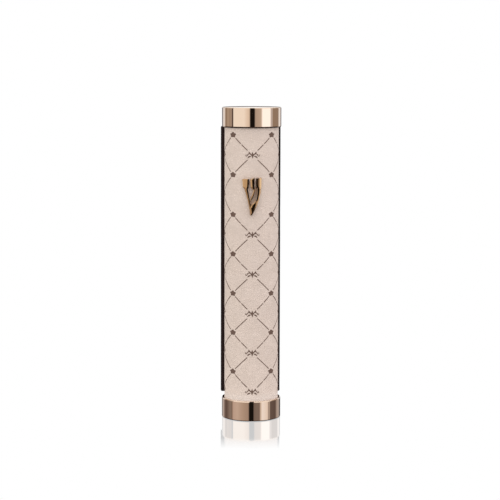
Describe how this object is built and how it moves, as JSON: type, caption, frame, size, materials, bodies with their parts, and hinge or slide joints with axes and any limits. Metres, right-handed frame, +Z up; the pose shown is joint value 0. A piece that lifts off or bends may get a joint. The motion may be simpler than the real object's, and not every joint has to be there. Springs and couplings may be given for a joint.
{
  "type": "mezuzah case",
  "caption": "Leather-wrapped cylindrical mezuzah case with polished metal caps, a raised gold letter and a flat back board; the top cap lifts off a rolled parchment.",
  "frame": {"origin": "centre of the round face that the closed case stands on, on the tube's axis", "axes": "+Z up along the tube towards the top cap, -Y out of the front where the letter is, +Y towards the back board and the wall, +X to the right seen from the front"},
  "size_m": [0.029, 0.0302, 0.15],
  "materials": {
    "cap_metal": "polished rose gold",
    "letter_metal": "polished gold with a satin hatched web",
    "cream_leatherette": "matt fine grain with a printed brown lattice",
    "brown_leatherette": "satin pebble grain",
    "tube_plastic": "matt extruded",
    "plug_plastic": "matt moulded",
    "ring_rubber": "smooth rubber",
    "pad_felt": "pressed felt",
    "board_wood": "sanded fibreboard",
    "glue_film": "tacky film",
    "tape_foam": "closed-cell foam",
    "liner_paper": "waxed release paper",
    "parchment": "scraped matt skin",
    "sleeve_film": "clear film"
  },
  "bodies": {
    "case": {"bottom_cap": "cap_metal", "bottom_plug": "plug_plastic", "chamber_pad": "pad_felt", "tube_core": "tube_plastic", "leather_wrap": "cream_leatherette", "emblem_letter": "letter_metal", "back_board": "board_wood", "back_board_wrap": "brown_leatherette", "saddle_adhesive": "glue_film", "wall_tape_upper": "tape_foam", "wall_tape_lower": "tape_foam", "tape_liner_upper": "liner_paper", "tape_liner_lower": "liner_paper"},
    "cap": {"top_cap": "cap_metal", "top_cap_plug": "plug_plastic", "plug_o_ring": "ring_rubber"},
    "scroll": {"scroll_parchment": "parchment", "scroll_sleeve": "sleeve_film"}
  },
  "joints": [
    {"name": "cap_lift", "type": "slide", "parent": "case", "child": "cap", "axis": [0, 0, 1], "range_m": [0, 0.16]},
    {"name": "scroll_lift", "type": "slide", "parent": "case", "child": "scroll", "axis": [0, 0, 1], "range_m": [0, 0.144]}
  ],
  "couplings": [
    {"joint": "scroll_lift", "follows": "cap_lift", "ratio": 0.9}
  ]
}
